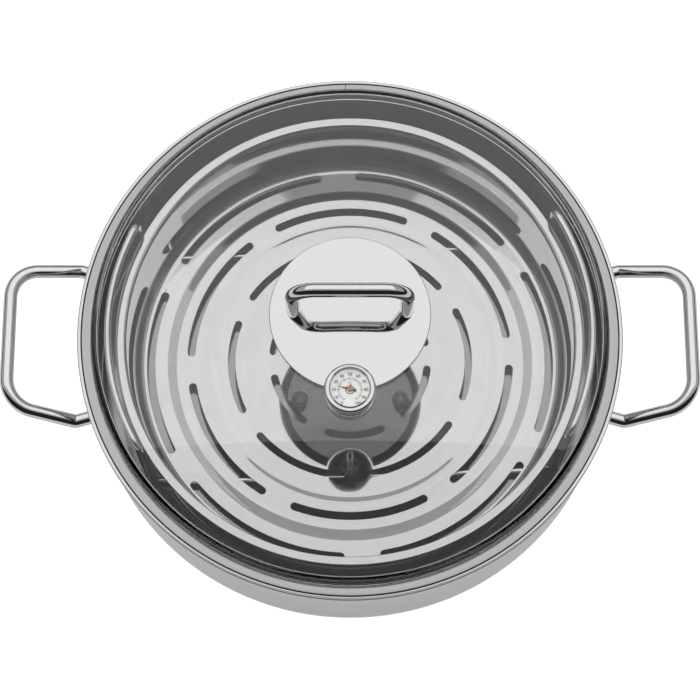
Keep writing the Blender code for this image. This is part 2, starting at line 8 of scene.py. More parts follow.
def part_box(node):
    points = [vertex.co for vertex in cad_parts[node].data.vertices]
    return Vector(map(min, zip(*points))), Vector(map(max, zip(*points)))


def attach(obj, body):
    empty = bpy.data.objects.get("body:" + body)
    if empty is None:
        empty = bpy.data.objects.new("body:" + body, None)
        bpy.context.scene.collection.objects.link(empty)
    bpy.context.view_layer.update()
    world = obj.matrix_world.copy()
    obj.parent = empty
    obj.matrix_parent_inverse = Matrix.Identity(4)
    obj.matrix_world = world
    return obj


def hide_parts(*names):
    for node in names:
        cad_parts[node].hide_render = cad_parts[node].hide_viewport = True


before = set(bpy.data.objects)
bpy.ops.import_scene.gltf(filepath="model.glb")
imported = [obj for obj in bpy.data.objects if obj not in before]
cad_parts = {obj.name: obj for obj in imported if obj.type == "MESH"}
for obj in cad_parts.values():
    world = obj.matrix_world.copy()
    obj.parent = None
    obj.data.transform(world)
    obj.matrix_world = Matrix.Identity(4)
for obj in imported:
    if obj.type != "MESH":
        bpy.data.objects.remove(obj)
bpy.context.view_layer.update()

POT, RACK, TRAY, LID, POINTER = "pot", "rack", "tray", "lid", "pointer"

# ---- sizes read from the frame ---------------------------------------------------------------
MM = 0.001
POT_LOW, POT_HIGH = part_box("pot_body")
TRAY_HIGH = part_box("insert_tray")[1]
BAND_LOW, BAND_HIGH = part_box("lid_band")
GLASS_LOW, GLASS_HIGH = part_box("lid_glass")
DISC_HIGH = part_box("lid_disc")[1]
KNOB_LOW, KNOB_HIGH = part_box("lid_handle")
CASE_LOW, CASE_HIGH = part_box("thermometer_case")
LENS_LOW, LENS_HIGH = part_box("thermometer_lens")
DIAL_LOW, DIAL_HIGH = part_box("thermometer_dial")
HANDLE_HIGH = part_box("side_handle_right")[1]
STEM_LOW, STEM_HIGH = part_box("thermometer_stem")
CAP_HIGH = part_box("base_cap")[1]

TOUCH = 0.3 * MM                  # gap between pieces that touch
ON_AXIS = 1e-9                    # a smaller radius counts as the axis
ROUND = 192                       # facets around a large turned piece
RIM_R = POT_HIGH[0]
POT_TOP = POT_HIGH[2]
POT_FLOOR = POT_LOW[2]
POT_R = RIM_R - 2.6 * MM
POT_WALL = 1.0 * MM
SEAT_R = RIM_R - 2.2 * MM
SEAT_Z = POT_TOP - 5.4 * MM
ROD_R = 4.0 * MM                  # all three bent handles
HANDLE_FOOT_Y = 42.5 * MM         # from the handle's middle to each foot
HANDLE_FOOT_Z = 49.0 * MM
TRAY_R = 134.0 * MM
TRAY_TOP = TRAY_HIGH[2]
TRAY_FLOOR = TRAY_TOP - 50.3 * MM
TRAY_WALL = 0.8 * MM
SMALL_STEP = 0.6 * MM             # both steps of the tray's floor go down towards the wall
WHOLE_STEP = 2.3 * MM
TRAY_TURN = math.radians(3.5)
RACK_TURN = math.radians(2.0)
WIRE_R = 2.0 * MM
BAND_R = BAND_HIGH[0]
BAND_TOP = BAND_HIGH[2]
BAND_BOTTOM = BAND_LOW[2]
GLASS_R = 147.0 * MM
GLASS_BEND_R = 5.0 * MM
GLASS_BEND_Z = 82.6 * MM
GLASS_TOP = GLASS_HIGH[2]
GLASS_WALL = 3.8 * MM
LID_CUT_LOW = 95.0 * MM           # cutters that go right through the lid
LID_CUT_HIGH = 125.0 * MM
SCREW_X = 31.5 * MM
SCREW_HOLE_R = 2.3 * MM
DISC_R = DISC_HIGH[0]
DISC_RISE = 4.0 * MM
DISC_EDGE_Z = DISC_HIGH[2] - DISC_RISE
GAUGE_R = CASE_HIGH[0]
GAUGE_Y = 0.5 * (CASE_LOW[1] + CASE_HIGH[1])
GAUGE_TOP = CASE_HIGH[2]
CUP_BOTTOM = 108.0 * MM


# ---- mesh helpers ----------------------------------------------------------------------------
def make_piece(name, mesh, material, body, stands_for=(), sharp=35.0):
    """Turn a mesh into a finished piece that rides on a body and replaces CAD nodes."""
    mesh.materials.clear()
    mesh.materials.append(material)
    mesh.shade_smooth()
    mesh.set_sharp_from_angle(angle=math.radians(sharp))
    mesh.name = name
    piece = bpy.data.objects.new(name, mesh)
    bpy.context.scene.collection.objects.link(piece)
    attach(piece, body)
    if stands_for:
        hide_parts(*stands_for)
    return piece


def faced(piece, material, chosen):
    """Give the faces picked out by their middle and normal a second material."""
    piece.data.materials.append(material)
    for face in piece.data.polygons:
        if chosen(face.center, face.normal):
            face.material_index = 1


def mesh_from(build):
    """Mesh of what build adds to a bmesh, doubles merged and faces turned outwards."""
    work = bmesh.new()
    build(work)
    bmesh.ops.remove_doubles(work, verts=work.verts, dist=1e-7)
    bmesh.ops.recalc_face_normals(work, faces=work.faces)
    mesh = bpy.data.meshes.new("shape")
    work.to_mesh(mesh)
    work.free()
    return mesh


def turned(outline, steps=ROUND):
    """Mesh of a closed (radius, height) outline turned about Z."""
    turn = 2.0 * math.pi / steps

    def build(work):
        columns = []
        for radius, height in outline:
            if radius < ON_AXIS:
                columns.append([work.verts.new((0.0, 0.0, height))] * steps)
                continue
            spots = [(radius * math.cos(turn * k), radius * math.sin(turn * k)) for k in range(steps)]
            columns.append([work.verts.new((x, y, height)) for x, y in spots])
        for i, here in enumerate(columns):
            there = columns[(i + 1) % len(columns)]
            for k in range(steps):
                n = (k + 1) % steps
                corners = []
                for vert in (here[k], here[n], there[n], there[k]):
                    if vert not in corners:
                        corners.append(vert)
                if len(corners) > 2:
                    work.faces.new(corners)
    return mesh_from(build)


def arc(centre, radius, start, stop, count=8):
    """Points of a circular arc in the (radius, height) plane, angles in degrees."""
    turn = math.radians(stop - start) / count
    first = math.radians(start)
    return [(centre[0] + radius * math.cos(first + turn * k), centre[1] + radius * math.sin(first + turn * k))
            for k in range(count + 1)]


def eased(corners, radius, count=4):
    """Round every corner of a closed (radius, height) outline, except those on the axis."""
    points = []
    for i, corner in enumerate(corners):
        here = Vector(corner)
        back = Vector(corners[i - 1]) - here
        ahead = Vector(corners[(i + 1) % len(corners)]) - here
        reach = min(radius, 0.4 * back.length, 0.4 * ahead.length)
        if corner[0] < ON_AXIS or reach < 0.02 * MM:
            points.append(corner)
            continue
        first = here + back.normalized() * reach
        last = here + ahead.normalized() * reach
        for k in range(count + 1):
            t = k / count
            point = first * (1 - t) ** 2 + here * (2 * t * (1 - t)) + last * t ** 2
            points.append((point.x, point.y))
    return points


def rounded_path(corners, radii, bend_steps=14):
    """Centre line through the corners, each bend a circular arc of its own radius, 0 for none."""
    points = []
    for i, corner in enumerate(corners):
        here = Vector(corner)
        if radii[i] <= 0.0:
            points.append(here)
            continue
        back = (Vector(corners[i - 1]) - here).normalized()
        ahead = (Vector(corners[(i + 1) % len(corners)]) - here).normalized()
        half = 0.5 * back.angle(ahead)
        middle = here + (back + ahead).normalized() * (radii[i] / math.sin(half))
        start = here + back * (radii[i] / math.tan(half)) - middle
        for k in range(bend_steps + 1):
            angle = (math.pi - 2.0 * half) * k / bend_steps
            points.append(middle + start * math.cos(angle) - back * (radii[i] * math.sin(angle)))
    return points


def swept(path, radius, sides=32, closed=False, first_side=(0.0, 0.0, 1.0), scales=None):
    """Mesh of a round rod along a path; scales holds (across, along first_side) factors per point."""
    def build(work):
        side = Vector(first_side)
        rings = []
        for i, point in enumerate(path):
            before = path[i - 1] if (i > 0 or closed) else point
            after = path[(i + 1) % len(path)] if (i < len(path) - 1 or closed) else point
            along = (after - before).normalized()
            side = (side - along * side.dot(along)).normalized()
            across = along.cross(side)
            wide, tall = scales[i] if scales else (1.0, 1.0)
            ring = []
            for k in range(sides):
                angle = 2.0 * math.pi * k / sides
                offset = across * (math.cos(angle) * wide) + side * (math.sin(angle) * tall)
                ring.append(work.verts.new(point + offset * radius))
            rings.append(ring)
        for i in range(len(path) if closed else len(path) - 1):
            here, there = rings[i], rings[(i + 1) % len(path)]
            for k in range(sides):
                n = (k + 1) % sides
                work.faces.new((here[k], here[n], there[n], there[k]))
        if not closed:
            work.faces.new(list(reversed(rings[0])))
            work.faces.new(rings[-1])
    return mesh_from(build)


def bare(name, mesh):
    """A plain object used while shaping, which baked() removes afterwards."""
    shape = bpy.data.objects.new(name, mesh)
    bpy.context.scene.collection.objects.link(shape)
    return shape


def baked(shape, *helpers):
    """Evaluated mesh of a helper object; the object and its helpers are then removed."""
    graph = bpy.context.evaluated_depsgraph_get()
    mesh = bpy.data.meshes.new_from_object(shape.evaluated_get(graph))
    for done in (shape,) + helpers:
        bpy.data.objects.remove(done, do_unlink=True)
    return mesh


def cut_from(mesh, cutter_mesh):
    """The mesh with another mesh's shape cut out of it."""
    shape = bare("work_shape", mesh)
    tool = bare("work_tool", cutter_mesh)
    change = shape.modifiers.new("cut", "BOOLEAN")
    change.operation = "DIFFERENCE"
    change.solver = "EXACT"
    change.object = tool
    return baked(shape, tool)


def joined(meshes):
    """One mesh of several, not merged."""
    work = bmesh.new()
    for mesh in meshes:
        work.from_mesh(mesh)
    mesh = bpy.data.meshes.new("joined")
    work.to_mesh(mesh)
    work.free()
    return mesh


def cuboid(size, middle):
    """Mesh of a box of a size (x, y, z) around its middle."""
    mesh = bpy.data.meshes.new("cuboid")
    work = bmesh.new()
    place = Matrix.Translation(middle) @ Matrix.Diagonal((*size, 1.0))
    bmesh.ops.create_cube(work, size=1.0, matrix=place)
    work.to_mesh(mesh)
    work.free()
    return mesh


def moved(mesh, x, y=0.0, z=0.0):
    mesh.transform(Matrix.Translation((x, y, z)))
    return mesh


def drill(x, y, radius, low, high, steps=64):
    """Upright cylinder that cuts a hole."""
    return moved(turned([(0.0, low), (radius, low), (radius, high), (0.0, high)], steps), x, y)


# ---- geometry nodes: one shape repeated around the axis --------------------------------------
def around_axis_tree():
    """Repeat the incoming shape around Z. Inputs: Count, First and Step (radians) and Finish."""
    tree = bpy.data.node_groups.new("repeat_around_axis", "GeometryNodeTree")
    face = tree.interface
    face.new_socket("Shape", in_out="INPUT", socket_type="NodeSocketGeometry")
    face.new_socket("Count", in_out="INPUT", socket_type="NodeSocketInt")
    face.new_socket("First", in_out="INPUT", socket_type="NodeSocketFloat")
    face.new_socket("Step", in_out="INPUT", socket_type="NodeSocketFloat")
    face.new_socket("Finish", in_out="INPUT", socket_type="NodeSocketMaterial")
    face.new_socket("Shape", in_out="OUTPUT", socket_type="NodeSocketGeometry")
    nodes, links = tree.nodes, tree.links
    given = nodes.new("NodeGroupInput")
    result = nodes.new("NodeGroupOutput")
    points = nodes.new("GeometryNodePoints")
    place = nodes.new("GeometryNodeInstanceOnPoints")
    index = nodes.new("GeometryNodeInputIndex")
    angle = nodes.new("ShaderNodeMath")
    angle.operation = "MULTIPLY_ADD"
    turn = nodes.new("ShaderNodeCombineXYZ")
    solid = nodes.new("GeometryNodeRealizeInstances")
    finish = nodes.new("GeometryNodeSetMaterial")
    links.new(given.outputs["Count"], points.inputs["Count"])
    links.new(points.outputs[0], place.inputs["Points"])
    links.new(given.outputs["Shape"], place.inputs["Instance"])
    links.new(index.outputs[0], angle.inputs[0])
    links.new(given.outputs["Step"], angle.inputs[1])
    links.new(given.outputs["First"], angle.inputs[2])
    links.new(angle.outputs[0], turn.inputs["Z"])
    links.new(turn.outputs[0], place.inputs["Rotation"])
    links.new(place.outputs[0], solid.inputs[0])
    links.new(solid.outputs[0], finish.inputs["Geometry"])
    links.new(given.outputs["Finish"], finish.inputs["Material"])
    links.new(finish.outputs[0], result.inputs[0])
    return tree


AROUND = around_axis_tree()


def repeated(mesh, count, first, step, material):
    """Plain mesh of a shape repeated around the axis by the geometry nodes. Angles in radians."""
    shape = bare("repeat_shape", mesh)
    change = shape.modifiers.new("repeat", "NODES")
    change.node_group = AROUND
    values = {"Count": count, "First": first, "Step": step, "Finish": material}
    for item in AROUND.interface.items_tree:
        if item.in_out == "INPUT" and item.name in values:
            change[item.identifier] = values[item.name]
    return baked(shape)


# ---- shader node groups ----------------------------------------------------------------------
def shader_group(name, inputs, outputs):
    """Empty shader group with named float inputs (name: default) and outputs (name: type)."""
    group = bpy.data.node_groups.new(name, "ShaderNodeTree")
    for label, default in inputs.items():
        socket = group.interface.new_socket(label, in_out="INPUT", socket_type="NodeSocketFloat")
        socket.default_value = default
    for label, kind in outputs.items():
        group.interface.new_socket(label, in_out="OUTPUT", socket_type=kind)
    return group, group.nodes.new("NodeGroupInput"), group.nodes.new("NodeGroupOutput")


def math_node(tree, operation, first, second=None, third=None):
    """A Math node; each operand is a socket or a number. Returns its output socket."""
    node = tree.nodes.new("ShaderNodeMath")
    node.operation = operation
    for slot, value in enumerate((first, second, third)):
        if value is None:
            continue
        if isinstance(value, (int, float)):
            node.inputs[slot].default_value = value
        else:
            tree.links.new(value, node.inputs[slot])
    return node.outputs[0]


def axes_of(tree, coordinates="Object"):
    """The X, Y and Z sockets of a texture coordinate."""
    where = tree.nodes.new("ShaderNodeTexCoord")
    apart = tree.nodes.new("ShaderNodeSeparateXYZ")
    tree.links.new(where.outputs[coordinates], apart.inputs[0])
    return apart.outputs


def noise_node(tree, vector, scale, detail=2.0):
    """A Noise node; vector is a socket and scale a socket or a number."""
    noise = tree.nodes.new("ShaderNodeTexNoise")
    noise.inputs["Detail"].default_value = detail
    tree.links.new(vector, noise.inputs["Vector"])
    if isinstance(scale, (int, float)):
        noise.inputs["Scale"].default_value = scale
    else:
        tree.links.new(scale, noise.inputs["Scale"])
    return noise


def turned_grain_group():
    """Fine rings left by polishing a spinning piece: lines follow the circumference."""
    group, given, result = shader_group(
        "turned_grain", {"Lines per metre": 2600.0, "Waver": 1.5},
        {"Grain": "NodeSocketFloat", "Broad rings": "NodeSocketFloat"})
    x, y, z = axes_of(group)
    squares = math_node(group, "MULTIPLY_ADD", x, x, math_node(group, "MULTIPLY", y, y))
    radius = math_node(group, "SQRT", squares)
    angle = math_node(group, "ARCTAN2", y, x)
    lines = given.outputs["Lines per metre"]
    together = group.nodes.new("ShaderNodeCombineXYZ")
    group.links.new(math_node(group, "MULTIPLY", radius, lines), together.inputs[0])
    group.links.new(math_node(group, "MULTIPLY", z, lines), together.inputs[1])
    group.links.new(math_node(group, "MULTIPLY", angle, given.outputs["Waver"]), together.inputs[2])
    fine = noise_node(group, together.outputs[0], 1.0)
    shrink = group.nodes.new("ShaderNodeVectorMath")
    shrink.operation = "SCALE"
    shrink.inputs["Scale"].default_value = 0.11
    group.links.new(together.outputs[0], shrink.inputs[0])
    broad = noise_node(group, shrink.outputs[0], 1.0, detail=1.0)
    group.links.new(fine.outputs["Fac"], result.inputs["Grain"])
    group.links.new(broad.outputs["Fac"], result.inputs["Broad rings"])
    return group


def handling_marks_group():
    """Faint smudges and hairline scuffs from washing and handling."""
    group, given, result = shader_group(
        "handling_marks", {"Smudge size": 28.0, "Hairline size": 420.0},
        {"Smudge": "NodeSocketFloat", "Hairline": "NodeSocketFloat"})
    place = group.nodes.new("ShaderNodeTexCoord")
    smudge = noise_node(group, place.outputs["Object"], given.outputs["Smudge size"], detail=3.0)
    smudge.inputs["Distortion"].default_value = 0.6
    stretch = group.nodes.new("ShaderNodeMapping")
    stretch.inputs["Rotation"].default_value = (0.3, 0.2, 0.7)
    stretch.inputs["Scale"].default_value = (1.0, 0.06, 0.3)
    group.links.new(place.outputs["Object"], stretch.inputs["Vector"])
    hair = noise_node(group, stretch.outputs[0], given.outputs["Hairline size"], detail=4.0)
    off = math_node(group, "ABSOLUTE", math_node(group, "SUBTRACT", hair.outputs["Fac"], 0.5))
    thin = math_node(group, "SMOOTH_MIN", off, 0.04, 0.02)
    line = math_node(group, "SUBTRACT", 1.0, math_node(group, "MULTIPLY", thin, 25.0))
    group.links.new(smudge.outputs["Fac"], result.inputs["Smudge"])
    group.links.new(line, result.inputs["Hairline"])
    return group


GRAIN = turned_grain_group()
MARKS = handling_marks_group()


# ---- materials -------------------------------------------------------------------------------
def new_material(name):
    """A material with its node tree and its Principled shader."""
    material = bpy.data.materials.new(name)
    material.use_nodes = True
    tree = material.node_tree
    return material, tree, tree.nodes["Principled BSDF"]


def placed_group(tree, group):
    node = tree.nodes.new("ShaderNodeGroup")
    node.node_tree = group
    return node


def add_relief(tree, shader, height, strength, distance):
    """Bump from a height socket, up to a distance in metres."""
    relief = tree.nodes.new("ShaderNodeBump")
    relief.inputs["Strength"].default_value = strength
    relief.inputs["Distance"].default_value = distance
    tree.links.new(height, relief.inputs["Height"])
    tree.links.new(relief.outputs[0], shader.inputs["Normal"])


def mixed_colour(tree, factor, dark, light):
    """Colour between two, by a factor socket."""
    mix = tree.nodes.new("ShaderNodeMix")
    mix.data_type = "RGBA"
    mix.inputs["A"].default_value = (*dark, 1.0)
    mix.inputs["B"].default_value = (*light, 1.0)
    tree.links.new(factor, mix.inputs["Factor"])
    return mix.outputs["Result"]


def metal(name, tone, rough, grain=0.06, smudge=0.05, scuff=0.02, lines=2600.0, bump=0.02, rings=1.0,
          seam=None):
    """Turned or polished metal of a colour and a roughness.

    grain, smudge and scuff vary the roughness, bump is the grain's relief, rings how far broad rings
    vary the colour, and seam the place of a dark line across it, as seam_line takes it.
    """
    material, tree, shader = new_material(name)
    ring = placed_group(tree, GRAIN)
    ring.inputs["Lines per metre"].default_value = lines
    marks = placed_group(tree, MARKS)
    level = rough
    for pattern, middle, amount in ((ring.outputs["Grain"], 0.5, grain),
                                    (marks.outputs["Smudge"], 0.45, smudge),
                                    (marks.outputs["Hairline"], 0.0, scuff)):
        level = math_node(tree, "MULTIPLY_ADD", math_node(tree, "SUBTRACT", pattern, middle), amount, level)
    tree.links.new(math_node(tree, "MAXIMUM", level, 0.02), shader.inputs["Roughness"])
    dark = tuple(c * (1.0 - 0.07 * rings) for c in tone)
    light = tuple(min(c * (1.0 + 0.06 * rings), 1.0) for c in tone)
    colour = mixed_colour(tree, ring.outputs["Broad rings"], dark, light)
    if seam:
        colour = seam_line(tree, colour, seam)
    tree.links.new(colour, shader.inputs["Base Color"])
    add_relief(tree, shader, ring.outputs["Grain"], bump, 0.2 * MM)
    shader.inputs["Metallic"].default_value = 1.0
    return material


def seam_line(tree, colour, place):
    """Darken a thin line across a ring: place is (x of the line, half its width), at the back only."""
    x, y = axes_of(tree)[:2]
    off = math_node(tree, "ABSOLUTE", math_node(tree, "SUBTRACT", x, place[0]))
    near = math_node(tree, "LESS_THAN", off, place[1])
    behind = math_node(tree, "GREATER_THAN", y, 0.0)
    mix = tree.nodes.new("ShaderNodeMix")
    mix.data_type = "RGBA"
    mix.inputs["B"].default_value = (0.10, 0.10, 0.10, 1.0)
    tree.links.new(colour, mix.inputs["A"])
    tree.links.new(math_node(tree, "MULTIPLY", near, behind), mix.inputs["Factor"])
    return mix.outputs["Result"]


def glass(name, tint, haze):
    """Clear glass with faint smudges; haze is how rough they make it."""
    material, tree, shader = new_material(name)
    marks = placed_group(tree, MARKS)
    film = math_node(tree, "MULTIPLY", math_node(tree, "SUBTRACT", marks.outputs["Smudge"], 0.5), haze)
    tree.links.new(math_node(tree, "MAXIMUM", film, 0.0), shader.inputs["Roughness"])
    shader.inputs["Base Color"].default_value = (*tint, 1.0)
    shader.inputs["Transmission Weight"].default_value = 1.0
    shader.inputs["IOR"].default_value = 1.5
    return material


def matte(name, dark, light, rough, size=900.0, bump=0.1, painted_light=0.0):
    """Non-metal finish with a fine mottle. The last argument gives painted light: emission that lifts a dial
    which its lens leaves too dark, though the dial is no lamp.
    """
    material, tree, shader = new_material(name)
    where = tree.nodes.new("ShaderNodeTexCoord")
    speck = noise_node(tree, where.outputs["Object"], size)
    tree.links.new(mixed_colour(tree, speck.outputs["Fac"], dark, light), shader.inputs["Base Color"])
    add_relief(tree, shader, speck.outputs["Fac"], bump, 0.1 * MM)
    shader.inputs["Roughness"].default_value = rough
    shader.inputs["Emission Color"].default_value = (*light, 1.0)
    shader.inputs["Emission Strength"].default_value = painted_light
    return material


def steel(name, grey, rough, **finish):
    return metal(name, (grey, grey, grey), rough, **finish)


SHELL_STEEL = steel("shell_steel", 0.66, 0.20, grain=0.03, smudge=0.03, scuff=0.01, lines=2200.0, bump=0.002)
# painted shade: a darker copy of the shell's steel, standing in for the shade inside the pot
INSIDE_SHADE_STEEL = steel("inside_painted_shade_steel", 0.28, 0.10, grain=0.02, smudge=0.02, scuff=0.01, bump=0.001)
BASE_STEEL = steel("base_steel", 0.58, 0.32, grain=0.12, lines=1500.0, bump=0.05)
BASE_ALUMINIUM = metal("base_aluminium", (0.70, 0.71, 0.72), 0.45, grain=0.08, lines=1200.0)
ROD_STEEL = steel("rod_steel", 0.68, 0.05, grain=0.02, bump=0.004)
WIRE_STEEL = steel("wire_steel", 0.68, 0.08, grain=0.02, bump=0.003)
TRAY_STEEL = steel("tray_steel", 0.60, 0.03, grain=0.015, smudge=0.03, scuff=0.006, bump=0.0004)
BAND_STEEL = steel("band_steel", 0.42, 0.18, grain=0.04, bump=0.004, seam=(-2.6 * MM, 0.22 * MM))
DISC_STEEL = steel("disc_steel", 0.66, 0.05, grain=0.008, smudge=0.01, scuff=0.004, lines=3400.0,
                   bump=0.0005, rings=0.25)
# painted shade: a darker copy of the polished steel for faces under the lid, standing in for the shade there
UNDERSIDE_SHADE_STEEL = steel("underside_painted_shade_steel", 0.37, 0.06, grain=0.02, bump=0.001)
GAUGE_STEEL = steel("gauge_steel", 0.66, 0.08, grain=0.02, bump=0.004)
FASTENER_STEEL = steel("fastener_steel", 0.62, 0.26, grain=0.05)
COPPER = metal("needle_copper", (0.42, 0.23, 0.13), 0.32, grain=0.04)
LID_GLASS = glass("lid_glass", (0.97, 0.975, 0.97), 0.01)
GAUGE_GLASS = glass("gauge_glass", (0.98, 0.98, 0.98), 0.01)
SOFT_GREY = matte("soft_grey", (0.62, 0.62, 0.62), (0.66, 0.66, 0.66), 0.5, bump=0.02)
SILICONE = matte("silicone", (0.020, 0.020, 0.021), (0.035, 0.035, 0.036), 0.55)
# the dial's emission is painted light, standing in for the light its lens keeps off
DIAL_WHITE = matte("dial_white", (0.80, 0.80, 0.79), (0.86, 0.86, 0.85), 0.45, bump=0.02, painted_light=0.56)
NEEDLE_BROWN = matte("needle_brown", (0.055, 0.032, 0.022), (0.07, 0.04, 0.028), 0.4, bump=0.02)
DIAL_INK = matte("dial_ink", (0.02, 0.02, 0.02), (0.03, 0.03, 0.03), 0.5, bump=0.02)


# ---- pot -------------------------------------------------------------------------------------
def make_pot_shell():
    """Drawn bowl with a flared rim, a seat for the lid and shallow turned grooves."""
    inner_r = POT_R - POT_WALL
    corner_r = 5.0 * MM
    corner = (POT_R - corner_r, POT_FLOOR + corner_r)
    edge_r = 0.6 * MM
    rim_slope = 0.4 * MM
    edge = (RIM_R - edge_r, POT_TOP - rim_slope - edge_r)
    flare_z = SEAT_Z - 3.0 * MM
    flare = 1.6 * MM
    groove, half_groove = 0.12 * MM, 0.4 * MM
    ease = 0.3 * MM
    outline = [(0.0, POT_FLOOR)] + arc(corner, corner_r, -90.0, 0.0, 14)
    for drop in (5.2, 3.0, 1.2):
        z = flare_z - drop * MM
        outline += [(POT_R, z - half_groove), (POT_R - groove, z), (POT_R, z + half_groove)]
    outline += [(POT_R, flare_z), (POT_R + flare, flare_z + flare)]
    outline += arc(edge, edge_r, 0.0, 78.0, 8)
    outline += arc((SEAT_R + ease, POT_TOP - ease), ease, 90.0, 180.0, 4)
    outline += [(SEAT_R, SEAT_Z + ease), (SEAT_R - ease, SEAT_Z)]
    outline += [(inner_r + 0.4 * MM, SEAT_Z - 0.2 * MM), (inner_r, SEAT_Z - 0.8 * MM)]
    outline += arc(corner, corner_r - POT_WALL, 0.0, -90.0, 14)
    floor = POT_FLOOR + POT_WALL
    outline += [(61.0 * MM, floor), (60.0 * MM, floor - groove), (59.0 * MM, floor), (0.0, floor)]
    shell = make_piece("pot_shell", turned(outline), SHELL_STEEL, POT, ("pot_body",), sharp=50.0)

    # faces inside the bowl and on its floor get the darker steel as painted shade, not as a finish of their
    # own
    def gets_painted_inside_shade(middle, normal):
        faces_axis = normal.x * middle.x + normal.y * middle.y < 0.0
        return faces_axis and middle.z < SEAT_Z or normal.z > 0.7 and middle.z < 0.5 * SEAT_Z
    faced(shell, INSIDE_SHADE_STEEL, gets_painted_inside_shade)


def make_base():
    """Steel cap with turned grooves under the pot, and the finish of the core inside it."""
    top = CAP_HIGH[2]
    base_r = CAP_HIGH[0]
    wall = 0.6 * MM
    groove, half_groove = 0.15 * MM, 0.6 * MM
    edge_r = 1.4 * MM
    outline = [(0.0, 0.0)]
    for number in range(12):
        r = (15.0 + 10.0 * number) * MM
        outline += [(r - half_groove, 0.0), (r, groove), (r + half_groove, 0.0)]
    outline += arc((base_r - edge_r, edge_r), edge_r, -90.0, 0.0, 8)
    outline += [(base_r, top), (base_r - wall, top), (base_r - wall, wall), (0.0, wall)]
    make_piece("base_cap_turned", turned(outline), BASE_STEEL, POT, ("base_cap",))
    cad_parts["base_core"].data.materials[0] = BASE_ALUMINIUM


def foot_direction(side, end):
    """Level direction from the pot's axis to a handle foot. side and end are 1 or -1."""
    angle = math.asin(HANDLE_FOOT_Y / POT_R)
    return Vector((side * math.cos(angle), end * math.sin(angle), 0.0))


def side_handle_path(side):
    """Foot, bend, arm, corner, bar and back again. side is 1 for +X and -1 for -X."""
    foot_r = POT_R + 2.6 * MM
    elbow_r = foot_r + 9.0 * MM
    elbow_bend, bar_bend = 6.0 * MM, 18.0 * MM
    out = foot_direction(1.0, 1.0)
    rise = Vector((0.0, 0.0, HANDLE_FOOT_Z))
    bar_corner = Vector((HANDLE_HIGH[0] - ROD_R, 40.0 * MM, 65.0 * MM))
    half = [out * foot_r + rise, out * elbow_r + rise, bar_corner]
    corners = half + [Vector((p.x, -p.y, p.z)) for p in reversed(half)]
    corners = [Vector((side * p.x, p.y, p.z)) for p in corners]
    return rounded_path(corners, [0.0, elbow_bend, bar_bend, bar_bend, elbow_bend, 0.0])


def make_side_handles():
    """Two bent rods on four round weld pads, each pad with a low collar towards the rod."""
    pad_r = 7.4 * MM
    thick = 2.0 * MM
    collar = [(0.0, 0.0), (pad_r, 0.0), (pad_r, 0.5 * thick), (5.6 * MM, 0.95 * thick)]
    collar += [(4.3 * MM, thick + 0.25 * MM), (0.0, thick + 0.25 * MM)]
    count = 0
    for name, side in (("right", 1.0), ("left", -1.0)):
        rod = swept(side_handle_path(side), ROD_R, 36)
        make_piece("bent_handle_" + name, rod, ROD_STEEL, POT, ("side_handle_" + name,))
        for end in (1.0, -1.0):
            count += 1
            mesh = turned(eased(collar, 0.5 * MM), 64)
            out = foot_direction(side, end)
            place = out.to_track_quat("Z", "Y").to_matrix().to_4x4()
            place.translation = out * (POT_R + TOUCH) + Vector((0.0, 0.0, HANDLE_FOOT_Z))
            mesh.transform(place)
            make_piece("weld_pad_%d" % count, mesh, SHELL_STEEL, POT, ("handle_pad_%d" % count,))


# ---- tray and rack ---------------------------------------------------------------------------
# mean radius, width (mm), arc and direction of the first slot's middle (degrees)
SLOT_RINGS = ((118.1, 5.0, 50.0, 0.0), (94.3, 4.8, 50.0, 30.0), (70.2, 4.4, 48.0, 0.0),
              (45.9, 4.5, 45.0, 30.0))
SLOTS_AROUND = 6


def slope(start, stop, height, base_z):
    """A sloping step with eased edges, from inside to outside; a negative height goes down."""
    ease = min(0.9 * MM, 0.3 * (stop - start))
    steep = height / (stop - start)
    steps = 4
    points = []
    for k in range(steps + 1):
        t = k / steps
        points.append((start - ease + 2.0 * ease * t, base_z + steep * ease * t * t))
    for k in range(steps + 1):
        t = 1.0 - k / steps
        points.append((stop + ease - 2.0 * ease * t, base_z + height - steep * ease * t * t))
    return points


def slot_prism(radius, width, sweep, low, high):
    """Cutter for one curved slot with round ends, centred on +X. sweep is in degrees."""
    half = 0.5 * width
    stop = math.radians(0.5 * sweep) - half / radius
    along, around = 24, 10
    outline = []
    for side in (1.0, -1.0):
        for k in range(along + 1):
            angle = side * stop * (2.0 * k / along - 1.0)
            reach = radius + side * half
            outline.append((reach * math.cos(angle), reach * math.sin(angle)))
        first = stop if side > 0.0 else math.pi - stop
        for k in range(1, around):
            angle = first + math.pi * k / around
            outline.append((radius * math.cos(stop) + half * math.cos(angle),
                            side * radius * math.sin(stop) + half * math.sin(angle)))

    def build(work):
        lower = [work.verts.new((x, y, low)) for x, y in outline]
        upper = [work.verts.new((x, y, high)) for x, y in outline]
        work.faces.new(list(reversed(lower)))
        work.faces.new(upper)
        for k in range(len(outline)):
            n = (k + 1) % len(outline)
            work.faces.new((lower[k], lower[n], upper[n], upper[k]))
    return mesh_from(build)


